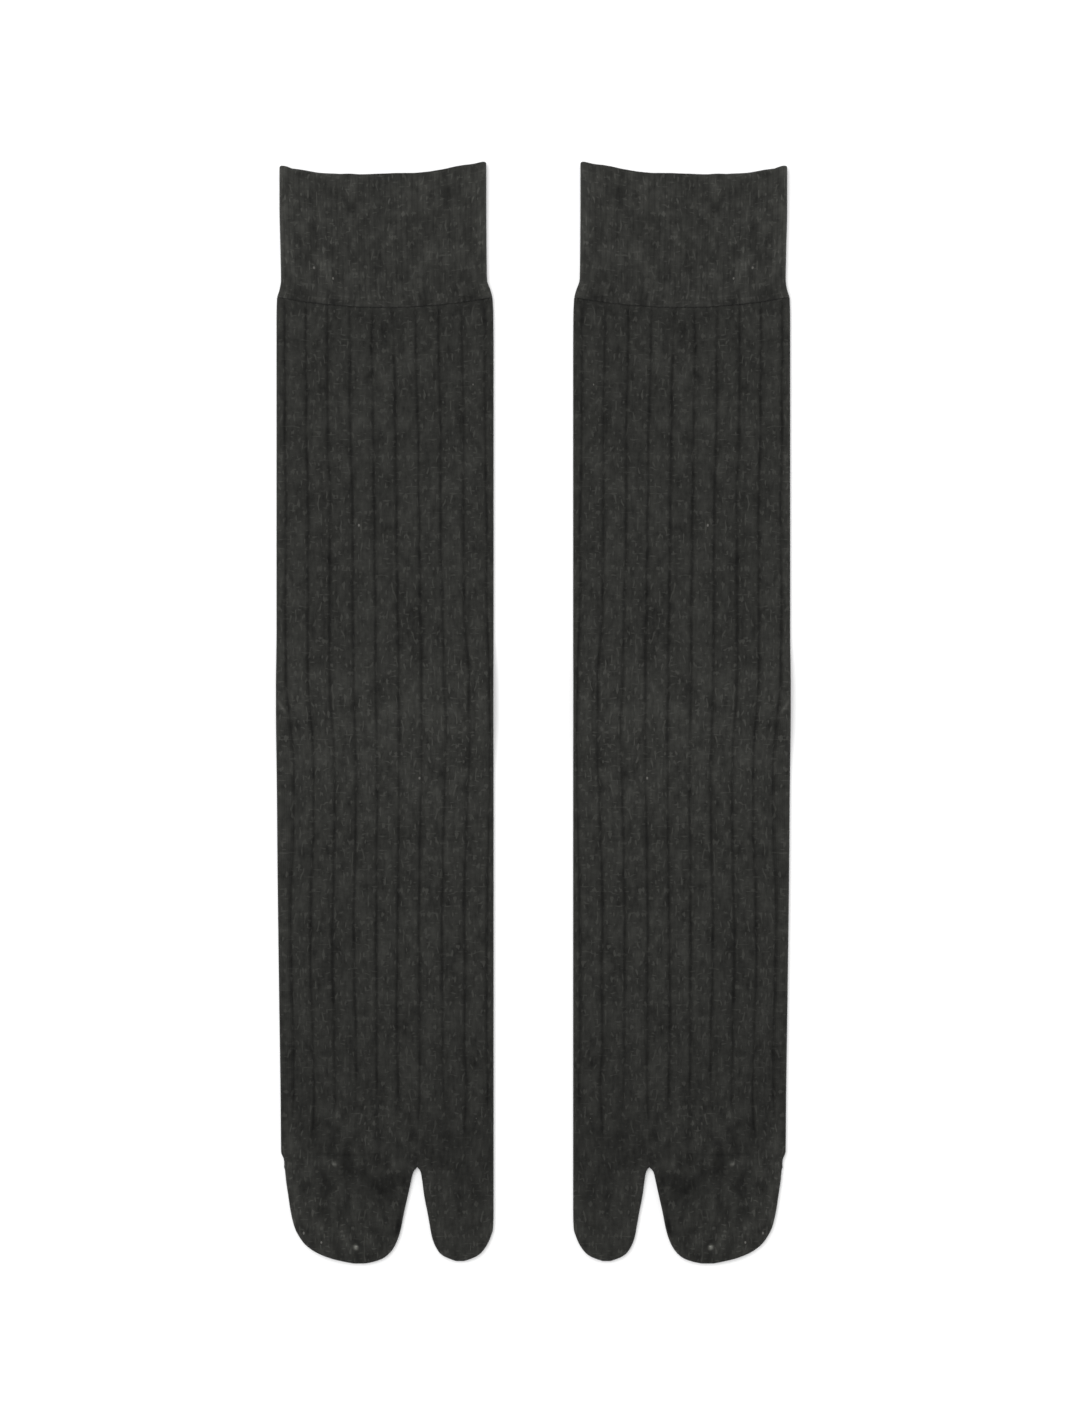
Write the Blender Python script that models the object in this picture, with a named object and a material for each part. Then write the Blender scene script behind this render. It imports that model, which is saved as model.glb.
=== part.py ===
"""A pair of split-toe socks, laid flat side by side with the instep up.

Each sock is a flattened knitted tube that is open at the cuff: a double cuff, the leg and foot with a pouch
for the big toe and a pouch for the other toes, and the heel pouch folded flat under the sole.
Sizes are in millimetres. A sock's own coordinates are across, from its axis (plus is towards the other
sock), station, the distance from the tips of the toes towards the cuff, and height.
"""

from math import copysign, cos, pi, sin, sqrt

import bmesh
import bpy

METRES = 0.001

# The pair
LENGTH = 456.9
AXIS = 61.4
HALF_WIDTH = 45.0
SIDES = {"right": -1, "left": 1}

# The knit, in sections through the flattened tube
WALL = 1.5
HOLLOW = 0.8
THICK = 2 * WALL + HOLLOW
CUFF_WALL = 2.1
CUFF_HOLLOW = 0.8
MOUTH_HOLLOW = 1.9
SEAM_GAP = 0.3
FOLD = 2.0
INNER_FOLD = 0.7
CUFF_FOLD = 2.6
FOLD_STEP = 0.3

# The wide ribs, which stand between grooves in the front of the leg and the instep
GROOVE_DEPTH = 0.5
GROOVE_HALF = 1.0
GROOVE_ROOM = 1.6
GROOVE_STATIONS = (330.0, 213.0, 110.0)
GROOVES = (
    # leg, ankle, foot
    (-41.5, -38.5, -39.0),
    (-32.4, -30.3, -30.7),
    (-23.9, -21.6, -21.8),
    (-14.1, -12.5, -12.9),
    (-5.0, -3.7, -3.9),
    (4.4, 5.8, 5.0),
    (13.5, 14.9, 14.1),
    (22.8, 24.9, 23.2),
    (32.4, 34.4, 32.8),
    (41.7, 42.7, 42.3),
)
SPLIT_GROOVE = 6

# The fine ribs of the cuff
CUFF_RIBS = 39
CUFF_RIB_DEPTH = 0.5

# The columns of the plain sheets on either side of the line that ends in the crotch
PLAIN_LEFT = 6
PLAIN_RIGHT = 4
CUFF_PLAIN = 14

# Where the toes part
CROTCH = 40.0
CROTCH_ACROSS = 13.3
CROTCH_ROUND = 1.1
CROTCH_REACH = 8.0
TIP_ROUND = 3.2
TIP_LEAST = 0.45

# The heel pouch under the sole
HEEL_TOP = 234.0
HEEL_END = 196.0
HEEL_HALF_TOP = 42.0
HEEL_HALF_END = 24.0
HEEL_SQUARENESS = 5.0
HEEL_POINTS = 32
HEEL_THICK = 3.0
HEEL_LIFT = HEEL_THICK + SEAM_GAP
HEEL_LEAVE = 5.0
HEEL_SLOPE = 24.0
HEEL_SIDE_SLOPE = 13.0

LEG_TOP = 400.6
CUFF_ROWS = (
    # station, outer edge, inner edge, tilt, dip, hollow, rim
    (456.8, -43.1, 41.2, 1.0, 5.0, MOUTH_HOLLOW, 0.6),
    (455.7, -43.9, 41.9, 1.0, 5.0, MOUTH_HOLLOW, 0.0),
    (440.0, -43.9, 41.9, 0.8, 4.8, 1.3, 0.0),
    (420.0, -43.5, 42.0, 0.4, 4.4, CUFF_HOLLOW, 0.0),
    (408.6, -43.3, 42.2, 0.2, 4.4, CUFF_HOLLOW, 0.0),
    (404.3, -43.9, 43.6, 0.0, 4.4, CUFF_HOLLOW, 0.1),
    (LEG_TOP + SEAM_GAP, -45.0, 44.5, 0.0, 4.4, CUFF_HOLLOW, 0.5),
)
BODY_ROWS = (
    # station, outer edge, inner edge, dip, groove
    (LEG_TOP, -45.0, 44.5, 4.4, 1.0),
    (394.0, -45.2, 44.8, 4.2, 1.0),
    (376.0, -45.2, 44.9, 2.6, 1.0),
    (350.0, -45.2, 44.9, 1.0, 1.0),
    (310.0, -45.2, 44.9, 0.0, 1.0),
    (262.0, -45.2, 44.9, 0.0, 1.0),
    (250.0, -45.2, 44.9, 0.0, 1.0),
    (238.0, -45.2, 44.9, 0.0, 1.0),
    (230.0, -45.2, 44.9, 0.0, 1.0),
    (222.0, -45.2, 44.9, 0.0, 1.0),
    (214.0, -45.2, 44.9, 0.0, 1.0),
    (206.0, -45.2, 44.9, 0.0, 1.0),
    (198.0, -45.1, 44.9, 0.0, 1.0),
    (190.0, -45.0, 44.9, 0.0, 1.0),
    (182.0, -44.9, 44.9, 0.0, 1.0),
    (174.0, -44.9, 44.9, 0.0, 1.0),
    (165.0, -44.8, 44.9, 0.0, 1.0),
    (140.0, -44.5, 44.9, 0.0, 1.0),
    (110.0, -44.1, 44.9, 0.0, 1.0),
    (67.0, -43.5, 44.9, 0.0, 1.0),
    (60.0, -43.5, 44.9, 0.0, 0.5),
    (54.0, -43.4, 44.9, 0.0, 0.0),
    (46.5, -43.3, 44.9, 0.0, 0.0),
    (43.0, -42.1, 44.9, 0.0, 0.0),
)
TOE_ROWS = (
    # station, four toes' outer edge, their inner edge, big toe's outer edge, its inner edge
    (CROTCH, -41.8, CROTCH_ACROSS, CROTCH_ACROSS, 44.9),
    (38.0, -41.6, 11.6, 14.6, 44.9),
    (34.0, -41.2, 10.6, 15.3, 44.9),
    (28.0, -40.3, 9.3, 16.1, 44.9),
    (21.4, -39.3, 7.8, 17.4, 44.9),
    (14.7, -37.6, 6.5, 18.6, 44.7),
    (11.4, -35.9, 5.6, 19.2, 43.8),
    (8.1, -33.5, 4.3, 20.3, 42.4),
    (4.8, -29.1, 2.2, 22.2, 40.1),
    (2.2, -23.2, -0.8, 24.9, 36.9),
    (0.7, -18.0, -5.2, 27.8, 34.0),
    (0.0, -15.5, -8.0, 29.3, 32.3),
)
HEEL_EDGE = (
    # in from the outline, height: two layers that part in a line along the edge
    (1.2, 0.0),
    (0.1, 0.7),
    (0.3, 1.3),
    (0.9, 1.5),
    (0.3, 1.7),
    (0.1, 2.3),
    (1.2, HEEL_THICK),
)

MATERIALS = {
    # colour, roughness
    "cuff": ((0.036, 0.036, 0.033), 0.92),
    "leg_and_foot": ((0.031, 0.031, 0.029), 0.95),
    "heel": ((0.029, 0.029, 0.027), 0.95),
}


def clamp(value, low, high):
    return max(low, min(high, value))


def smooth(value):
    """Goes from 0 to 1 with level ends, as the value does."""
    value = clamp(value, 0.0, 1.0)
    return value * value * (3 - 2 * value)


def arch(distance, radius):
    """Height of a quarter round: 0 at its foot, and 1 from the radius on."""
    return sqrt(1 - (1 - clamp(distance / radius, 0.0, 1.0)) ** 2)


def even(low, high, count):
    """Positions that part the space between two limits evenly."""
    return [low + (high - low) * (i + 1) / (count + 1) for i in range(count)]


def fold_at(inset):
    """How far in from its side edge a surface of the leg and foot is rounded."""
    return INNER_FOLD if inset else FOLD


def edge_columns(edge, inwards, fold):
    """The columns that round an edge, from the edge itself inwards."""
    return [edge, edge + inwards * FOLD_STEP * fold, edge + inwards * fold]


def groove_across(number, station):
    """Place of a groove, which drifts between leg, ankle and foot, and then turns to the crotch."""
    leg, ankle, foot = GROOVES[number]
    at_leg, at_ankle, at_foot = GROOVE_STATIONS
    if station > at_ankle:
        return ankle + (leg - ankle) * clamp((station - at_ankle) / (at_leg - at_ankle), 0.0, 1.0)
    across = foot + (ankle - foot) * clamp((station - at_foot) / (at_ankle - at_foot), 0.0, 1.0)
    beyond = clamp((at_foot - station) / (at_foot - CROTCH), 0.0, 1.0)
    return across + (CROTCH_ACROSS - GROOVES[SPLIT_GROOVE][2]) * beyond


def groove_columns(station, numbers, low, high):
    """Three columns for each groove: its two shoulders and its bottom."""
    columns = []
    for number in numbers:
        middle = clamp(groove_across(number, station), low + GROOVE_ROOM, high - GROOVE_ROOM)
        columns += [middle - GROOVE_HALF, middle, middle + GROOVE_HALF]
    return columns


def body_columns(station, left, right, ribbed, fold):
    """Columns of one sheet of the leg and foot, and the number of the one that ends in the crotch."""
    left_edge = edge_columns(left, 1, fold)
    right_edge = edge_columns(right, -1, fold)[::-1]
    split = groove_columns(station, [SPLIT_GROOVE], left, right)
    if ribbed:
        lefts = groove_columns(station, range(SPLIT_GROOVE), left_edge[-1], right)
        rights = groove_columns(station, range(SPLIT_GROOVE + 1, len(GROOVES)), left, right_edge[0])
    else:
        lefts = even(left_edge[-1], split[0], PLAIN_LEFT)
        rights = even(split[-1], right_edge[0], PLAIN_RIGHT)
    return left_edge + lefts + split + rights + right_edge, len(left_edge) + len(lefts) + 1


def pouch_columns(pouch, left, right, ribbed, fold):
    """The body's columns on one side of the crotch, moved between the edges of a pouch."""
    crotch = TOE_ROWS[0]
    columns, split = body_columns(CROTCH, crotch[1], crotch[4], ribbed, fold)
    kept = columns[2:split] if pouch == "four" else columns[split + 1 : -2]
    fold = min(fold, (right - left) / 4)
    scale = (right - left - 2 * fold) / (kept[-1] - kept[0])
    inside = [left + fold + (value - kept[0]) * scale for value in kept]
    return [left, left + FOLD_STEP * fold] + inside + [right - FOLD_STEP * fold, right]


def heel_half(station):
    """Half the width of the folded heel pouch."""
    down = clamp((HEEL_TOP - station) / (HEEL_TOP - HEEL_END), 0.0, 1.0)
    return HEEL_HALF_TOP + (HEEL_HALF_END - HEEL_HALF_TOP) * down


def heel_lift(across, station):
    """How far the sock rides up over the heel pouch that is folded under it."""
    above = (HEEL_TOP + HEEL_LEAVE + HEEL_SLOPE - station) / HEEL_SLOPE
    below = (station - (HEEL_END - HEEL_LEAVE - HEEL_SLOPE)) / HEEL_SLOPE
    beside = (heel_half(station) + HEEL_LEAVE + HEEL_SIDE_SLOPE - abs(across)) / HEEL_SIDE_SLOPE
    return HEEL_LIFT * smooth(min(above, below)) * smooth(beside)


def sheet(columns, station, side, inset, groove=0.0, dip=0.0, tip=1.0):
    """Points of the upper sheet in a section of the leg and foot, or of the lower one where side is -1."""
    left, right = columns[0], columns[-1]
    fold = min(fold_at(inset), (right - left) / 4)
    points = []
    for number, across in enumerate(columns):
        at = station - dip * (1 - (across / HALF_WIDTH) ** 2)
        half = (THICK / 2 - inset) * arch(min(across - left, right - across), fold) * tip
        in_groove = groove * GROOVE_DEPTH if number % 3 == 1 and 3 <= number < len(columns) - 3 else 0.0
        height = THICK / 2 + heel_lift(across, at) + side * half - in_groove
        points.append((across, at, height))
    return points


def ring(upper, lower):
    """A closed section: the upper sheet one way, then the lower sheet back between the shared edges."""
    return upper + lower[-2:0:-1]


def split_rings(inset):
    """The body's last section, at the crotch, and the two pouches' first sections, which share its points."""
    crotch = TOE_ROWS[0]
    left, right = crotch[1] + inset, crotch[4] - inset
    sheets = {}
    for side, ribbed in ((1, not inset), (-1, False)):
        columns, split = body_columns(CROTCH, left, right, ribbed, fold_at(inset))
        points = []
        for across, station, height in sheet(columns, CROTCH + inset, side, inset):
            near = max(0.0, 1 - abs(across - CROTCH_ACROSS) / CROTCH_REACH)
            points.append((across, station + CROTCH_ROUND * near, height))
        middle = (CROTCH_ACROSS, CROTCH + inset, THICK / 2)
        sheets[side] = points, points[: split + 1] + [middle], [middle] + points[split:]
    whole, four, big = (ring(upper, lower) for upper, lower in zip(sheets[1], sheets[-1]))
    return whole, four, big


def body_rings(inset):
    """Sections of the leg and foot, from under the cuff to just above the crotch."""
    rings = []
    for station, outer, inner, dip, groove in BODY_ROWS:
        left, right = outer + inset, inner - inset
        upper, _ = body_columns(station, left, right, not inset, fold_at(inset))
        lower, _ = body_columns(station, left, right, False, fold_at(inset))
        rings.append(
            ring(
                sheet(upper, station, 1, inset, 0.0 if inset else groove, dip),
                sheet(lower, station, -1, inset, 0.0, dip),
            )
        )
    return rings


def pouch_rings(pouch, inset):
    """Sections of one toe pouch, from just below the crotch to its tip."""
    rings = []
    for station, four_outer, four_inner, big_outer, big_inner in TOE_ROWS[1:]:
        outer, inner = (four_outer, four_inner) if pouch == "four" else (big_outer, big_inner)
        left, right = outer + inset, inner - inset
        tip = max(TIP_LEAST, arch(station, TIP_ROUND))
        upper = pouch_columns(pouch, left, right, not inset, fold_at(inset))
        lower = pouch_columns(pouch, left, right, False, fold_at(inset))
        rings.append(
            ring(
                sheet(upper, station + inset, 1, inset, tip=tip),
                sheet(lower, station + inset, -1, inset, tip=tip),
            )
        )
    return rings


def cuff_ring(row, inset):
    """A section of the cuff, with fine ribs in the upper sheet's outer points."""
    station, outer, inner, tilt, dip, hollow, rim = row
    left, right = outer + inset, inner - inset
    rim = 0.0 if inset else rim
    fold = hollow / 2 if inset else CUFF_FOLD
    sheets = {}
    for side in (1, -1):
        ribbed = side == 1 and not inset
        count = 2 * CUFF_RIBS + 1 if ribbed else CUFF_PLAIN
        left_edge = edge_columns(left, 1, fold)
        right_edge = edge_columns(right, -1, fold)[::-1]
        columns = left_edge + even(left_edge[-1], right_edge[0], count) + right_edge
        points = []
        for number, across in enumerate(columns):
            place = across / HALF_WIDTH
            at = station + tilt * place - dip * (1 - place * place)
            half = (CUFF_WALL + hollow / 2 - inset - rim) * arch(min(across - left, right - across), fold)
            in_valley = ribbed and number % 2 and 3 <= number < len(columns) - 3
            valley = max(0.0, CUFF_RIB_DEPTH - rim) if in_valley else 0.0
            points.append((across, at, CUFF_WALL + hollow / 2 + side * half - valley))
        sheets[side] = points
    return ring(sheets[1], sheets[-1])


def heel_rings():
    """Sections of the folded heel pouch, one above the other."""
    middle, half_length = (HEEL_TOP + HEEL_END) / 2, (HEEL_TOP - HEEL_END) / 2
    rings = []
    for inset, height in HEEL_EDGE:
        points = []
        for number in range(HEEL_POINTS):
            angle = 2 * pi * number / HEEL_POINTS
            over = copysign(abs(cos(angle)) ** (2 / HEEL_SQUARENESS), cos(angle))
            along = copysign(abs(sin(angle)) ** (2 / HEEL_SQUARENESS), sin(angle))
            station = middle + along * (half_length - inset)
            points.append((over * (heel_half(station) - inset), station, height))
        rings.append(points)
    return rings


def loft(mesh, rings, side):
    """Bends a flat grid into a tube through the sections. side mirrors it for the other foot.

    Returns its first and its last row of points, whose ends lie on each other until they are welded.
    """
    made = bmesh.ops.create_grid(mesh, x_segments=len(rings[0]), y_segments=len(rings) - 1)["verts"]
    in_row = len(rings[0]) + 1
    for number, vertex in enumerate(made):
        row, column = divmod(number, in_row)
        across, station, height = rings[row][column % len(rings[0])]
        vertex.co = (-side * across * METRES, (station - LENGTH / 2) * METRES, height * METRES)
    return made[:in_row], made[-in_row:]


def way_round(row):
    """How far round its section each point of a row lies, from 0 to 1, measured across."""
    steps = [abs(b.co.x - a.co.x) for a, b in zip(row, row[1:])]
    return [sum(steps[:number]) / sum(steps) for number in range(len(row))]


def stitch(mesh, outer, inner):
    """Joins two unlike rows at an open end with triangles, moving on along the row that lags behind."""
    outer_at, inner_at = way_round(outer), way_round(inner)
    i = j = 0
    while i + 1 < len(outer) or j + 1 < len(inner):
        if j + 1 == len(inner) or (i + 1 < len(outer) and outer_at[i + 1] <= inner_at[j + 1]):
            mesh.faces.new((outer[i], outer[i + 1], inner[j]))
            i += 1
        else:
            mesh.faces.new((inner[j + 1], inner[j], outer[i]))
            j += 1


def weld(mesh):
    bmesh.ops.remove_doubles(mesh, verts=mesh.verts[:], dist=1e-7)


def fill_ends(mesh):
    bmesh.ops.holes_fill(mesh, edges=[e for e in mesh.edges if e.is_boundary], sides=0)


def finished(mesh, name, material, parent):
    """Turns the mesh's faces outwards and puts it in the collection as one object."""
    bmesh.ops.recalc_face_normals(mesh, faces=mesh.faces[:])
    data = bpy.data.meshes.new(name)
    mesh.to_mesh(data)
    mesh.free()
    data.materials.append(material)
    data.shade_smooth()
    made = bpy.data.objects.new(name, data)
    made.parent = parent
    parent.users_collection[0].objects.link(made)
    return made


def make_leg_and_foot(name, side, material, parent):
    mesh = bmesh.new()
    tops = []
    for inset in (0.0, WALL):
        whole, four, big = split_rings(inset)
        top, _ = loft(mesh, body_rings(inset) + [whole], side)
        tops.append(top)
        loft(mesh, [four] + pouch_rings("four", inset), side)
        loft(mesh, [big] + pouch_rings("big", inset), side)
    stitch(mesh, *tops)
    weld(mesh)
    fill_ends(mesh)
    return finished(mesh, name, material, parent)


def make_cuff(name, side, material, parent):
    mesh = bmesh.new()
    outer_top, outer_bottom = loft(mesh, [cuff_ring(row, 0.0) for row in CUFF_ROWS], side)
    inner_top, inner_bottom = loft(mesh, [cuff_ring(row, CUFF_WALL) for row in CUFF_ROWS], side)
    stitch(mesh, outer_top, inner_top)
    stitch(mesh, outer_bottom, inner_bottom)
    weld(mesh)
    return finished(mesh, name, material, parent)


def make_heel(name, side, material, parent):
    mesh = bmesh.new()
    loft(mesh, heel_rings(), side)
    weld(mesh)
    fill_ends(mesh)
    return finished(mesh, name, material, parent)


def knit(name, colour, roughness):
    material = bpy.data.materials.new(name)
    material.use_nodes = True
    shader = material.node_tree.nodes["Principled BSDF"]
    shader.inputs["Base Color"].default_value = (*colour, 1.0)
    shader.inputs["Roughness"].default_value = roughness
    shader.inputs["Metallic"].default_value = 0.0
    return material


def main():
    for old in list(bpy.data.objects):
        bpy.data.objects.remove(old)
    parts = bpy.data.collections.new("split_toe_socks")
    bpy.context.scene.collection.children.link(parts)
    materials = {name: knit(name + "_knit", *look) for name, look in MATERIALS.items()}
    makers = {"cuff": make_cuff, "leg_and_foot": make_leg_and_foot, "heel": make_heel}
    for foot, side in SIDES.items():
        axis = bpy.data.objects.new(foot + "_sock", None)
        axis.location = (side * AXIS * METRES, 0.0, 0.0)
        parts.objects.link(axis)
        for part, make in makers.items():
            make(f"{foot}_{part}", side, materials[part], axis)


main()
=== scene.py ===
# %% [markdown]
# # A pair of split-toe socks
#
# The object is one pair of knitted socks with a pouch of its own for the big toe, lying flat with the instep
# up and the toes towards the viewer. Each is made as a knitting machine makes it, as one tube of wales and
# courses, and is then pressed flat: a cuff in fine rib, a leg and foot in wide rib that parts into two
# pouches, and a heel pouch that is folded forward under the sole.
#
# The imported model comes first, since every piece has to fit it.

from functools import partial
from math import cos, exp, hypot, pi, radians, sin, sqrt

import bmesh
import bpy
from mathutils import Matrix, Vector, noise


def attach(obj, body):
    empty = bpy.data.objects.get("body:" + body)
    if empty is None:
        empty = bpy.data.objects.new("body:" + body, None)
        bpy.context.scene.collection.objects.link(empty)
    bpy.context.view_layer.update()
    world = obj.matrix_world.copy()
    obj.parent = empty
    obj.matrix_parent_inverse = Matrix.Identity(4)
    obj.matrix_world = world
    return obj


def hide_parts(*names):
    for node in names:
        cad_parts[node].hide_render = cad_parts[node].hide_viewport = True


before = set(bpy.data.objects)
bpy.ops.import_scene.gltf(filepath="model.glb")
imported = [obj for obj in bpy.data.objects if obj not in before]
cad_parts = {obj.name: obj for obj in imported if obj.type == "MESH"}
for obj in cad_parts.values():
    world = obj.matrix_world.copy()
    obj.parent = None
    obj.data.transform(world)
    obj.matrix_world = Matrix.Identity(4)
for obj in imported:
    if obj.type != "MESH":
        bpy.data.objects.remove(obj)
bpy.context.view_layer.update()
METRES = 0.001


print("nodes:", sorted(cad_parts))

# %% [markdown]
# ## Camera
#
# The socks are seen from straight above. A long lens keeps the side edges of the cloth out of sight, and its
# distance follows from the picture's height.

# %% Camera
FRAME_HEIGHT = 0.5926
LENS, SENSOR = 85, 36
MIDDLE = (0.0009, -0.0004)
MID_CLOTH = 0.002
scene = bpy.context.scene


def put_in_scene(name, data):
    made = bpy.data.objects.new(name, data)
    scene.collection.objects.link(made)
    return made


camera = put_in_scene("camera", bpy.data.cameras.new("camera"))
camera.data.lens, camera.data.sensor_width = LENS, SENSOR
camera.location = (*MIDDLE, MID_CLOTH + FRAME_HEIGHT * LENS / SENSOR)
scene.camera = camera
scene.view_settings.view_transform = "Standard"
print("camera height in metres:", round(camera.location.z, 3))

# %% [markdown]
# ## Floor and light
#
# The socks lie on white paper under soft light from nearly everywhere. One big lamp overhead gives the cloth
# its form, and a bright, even world fills the shadows.

# %% Floor and light
FLOOR_HALF, FLOOR_DROP = 3, 0.0001
PAPER, PAPER_GLOW = (0.86, 0.86, 0.86, 1), 0.1
WORLD_LIGHT = 0.62
LAMPS = {
    # place in metres, size in metres, watts
    "overhead": ((-0.5, 0.5, 2.2), 1.6, 42),
    "low_side": ((1.6, 0.9, 1), 0.8, 6),
}


def feed(tree, node, inputs):
    """Gives each of a node's inputs a value, or links it to another node's output."""
    for name, value in inputs.items():
        if isinstance(value, bpy.types.NodeSocket):
            tree.links.new(value, node.inputs[name])
        else:
            node.inputs[name].default_value = value


def new_material(name):
    """A material. Returns it with its node tree and its shader."""
    material = bpy.data.materials.new(name)
    material.use_nodes = True
    return material, material.node_tree, material.node_tree.nodes["Principled BSDF"]


def new_object(name, mesh, material):
    """Turns a bmesh into an object that stands at the origin."""
    data = bpy.data.meshes.new(name)
    mesh.to_mesh(data)
    mesh.free()
    data.materials.append(material)
    data.shade_smooth()
    return put_in_scene(name, data)


paper, tree, shader = new_material("white_paper")
feed(tree, shader, {"Base Color": PAPER, "Roughness": 0.9})
feed(tree, shader, {"Emission Color": PAPER, "Emission Strength": PAPER_GLOW})
floor_mesh = bmesh.new()
bmesh.ops.create_grid(floor_mesh, x_segments=1, y_segments=1, size=FLOOR_HALF)
bmesh.ops.translate(floor_mesh, verts=floor_mesh.verts[:], vec=(0, 0, -FLOOR_DROP))
floor = new_object("floor", floor_mesh, paper)

scene.world = bpy.data.worlds.new("studio")
scene.world.use_nodes = True
tree = scene.world.node_tree
feed(tree, tree.nodes["Background"], {"Color": (1, 1, 1, 1), "Strength": WORLD_LIGHT})
for name, (location, size, watts) in LAMPS.items():
    lamp = put_in_scene(name, bpy.data.lights.new(name, "AREA"))
    lamp.data.size, lamp.data.energy = size, watts
    lamp.location = location
    lamp.rotation_euler = (-lamp.location).to_track_quat("-Z", "Y").to_euler()
print("lamps:", list(LAMPS))

# %% [markdown]
# ## Measures
#
# A sock has coordinates of its own, in millimetres: *across* from its axis, plus towards the other sock, the
# *station* from the tips of the toes towards the cuff, and *height*. The outline is a table of a few
# stations. The curve laid through each column never swings past its values, as a plain spline would at the
# toes.

# %% Measures
LENGTH = 456.9
AXIS = 61.4
HALF_WIDTH = 45
SIDES = {"right": -1, "left": 1}
THICK, HOLLOW, WALL, FOLD = 3.8, 0.8, 1.5, 2
LEG_TOP = 400.6
CROTCH, CROTCH_ACROSS = 40, 13.3
BODY_ROWS = (
    # station, outer edge, inner edge, dip
    (LEG_TOP, -45, 44.5, 4.4),
    (394, -45.2, 44.8, 4.2),
    (376, -45.2, 44.9, 2.6),
    (350, -45.2, 44.9, 1),
    (310, -45.2, 44.9, 0),
    (214, -45.2, 44.9, 0),
    (190, -45, 44.9, 0),
    (165, -44.8, 44.9, 0),
    (140, -44.5, 44.9, 0),
    (110, -44.1, 44.9, 0),
    (67, -43.5, 44.9, 0),
    (54, -43.4, 44.9, 0),
    (46.5, -43.3, 44.9, 0),
    (43, -42.1, 44.9, 0),
    (CROTCH, -41.8, 44.9, 0),
)
TOE_ROWS = (
    # station, four toes' outer edge, their inner edge, big toe's outer edge, its inner edge
    (CROTCH, -41.8, CROTCH_ACROSS, CROTCH_ACROSS, 44.9),
    (38, -41.6, 11.6, 14.6, 44.9),
    (34, -41.2, 10.6, 15.3, 44.9),
    (28, -40.3, 9.3, 16.1, 44.9),
    (21.4, -39.3, 7.8, 17.4, 44.9),
    (14.7, -37.6, 6.5, 18.6, 44.7),
    (11.4, -35.9, 5.6, 19.2, 43.8),
    (8.1, -33.5, 4.3, 20.3, 42.4),
    (4.8, -29.1, 2.2, 22.2, 40.1),
    (2.2, -22.9, -0.9, 24.8, 37.4),
    (0.7, -16.8, -5, 27.5, 34.6),
    (0, -13.4, -8.4, 29.4, 32.6),
)


def clamp(value, low=0, high=1):
    return max(low, min(high, value))


def smooth(value):
    """Goes from 0 to 1 as the value does, with level ends."""
    value = clamp(value)
    return value * value * (3 - 2 * value)


def mix(start, end, share):
    return start + (end - start) * share


def spread(low, high, count):
    return [mix(low, high, number / (count - 1)) for number in range(count)]


def uneven(number, place, length):
    """A soft unevenness along a line, from -1 to 1. Each number has its own."""
    return clamp(1.6 * noise.noise(Vector((7.3 * number, place / length, 0.5))), -1, 1)


def curve(places, values):
    """A smooth curve through values at rising places, which never swings past one."""
    steps = [(b - a) / (q - p) for a, b, p, q in zip(values, values[1:], places, places[1:])]
    bends = [0 if a * b <= 0 else 2 * a * b / (a + b) for a, b in zip(steps, steps[1:])]
    slopes = [steps[0], *bends, steps[-1]]

    def at(place):
        i = 0
        while i < len(places) - 2 and place > places[i + 1]:
            i += 1
        span = places[i + 1] - places[i]
        t = clamp((place - places[i]) / span)
        start = (1 + 2 * t) * (1 - t) ** 2 * values[i] + t * (1 - t) ** 2 * span * slopes[i]
        end = t * t * (3 - 2 * t) * values[i + 1] + t * t * (t - 1) * span * slopes[i + 1]
        return start + end

    return at


def curves(rows, places=None):
    """A curve for each column of a table, whose places are its first column or those given."""
    columns = list(zip(*rows))
    places = places or columns[0]
    if places[0] > places[-1]:
        places, columns = places[::-1], [column[::-1] for column in columns]
    return [curve(places, column) for column in columns]


_, *body_curves = curves(BODY_ROWS)
toe_curves = curves(TOE_ROWS, list(range(len(TOE_ROWS))))
print("leg width in mm:", round(body_curves[1](300) - body_curves[0](300), 1))

# %% [markdown]
# ## Ribs
#
# The leg is knitted in a wide rib: seven wales of plain knit stand proud and one purl wale sinks between
# them, twenty ribs all round. The front grooves were placed one by one, because they drift on a pressed
# sock, most over the folded heel, and those of the back are spaced evenly. The columns of the mesh crowd at
# the narrow valleys, where the cloth bends most.

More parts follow.
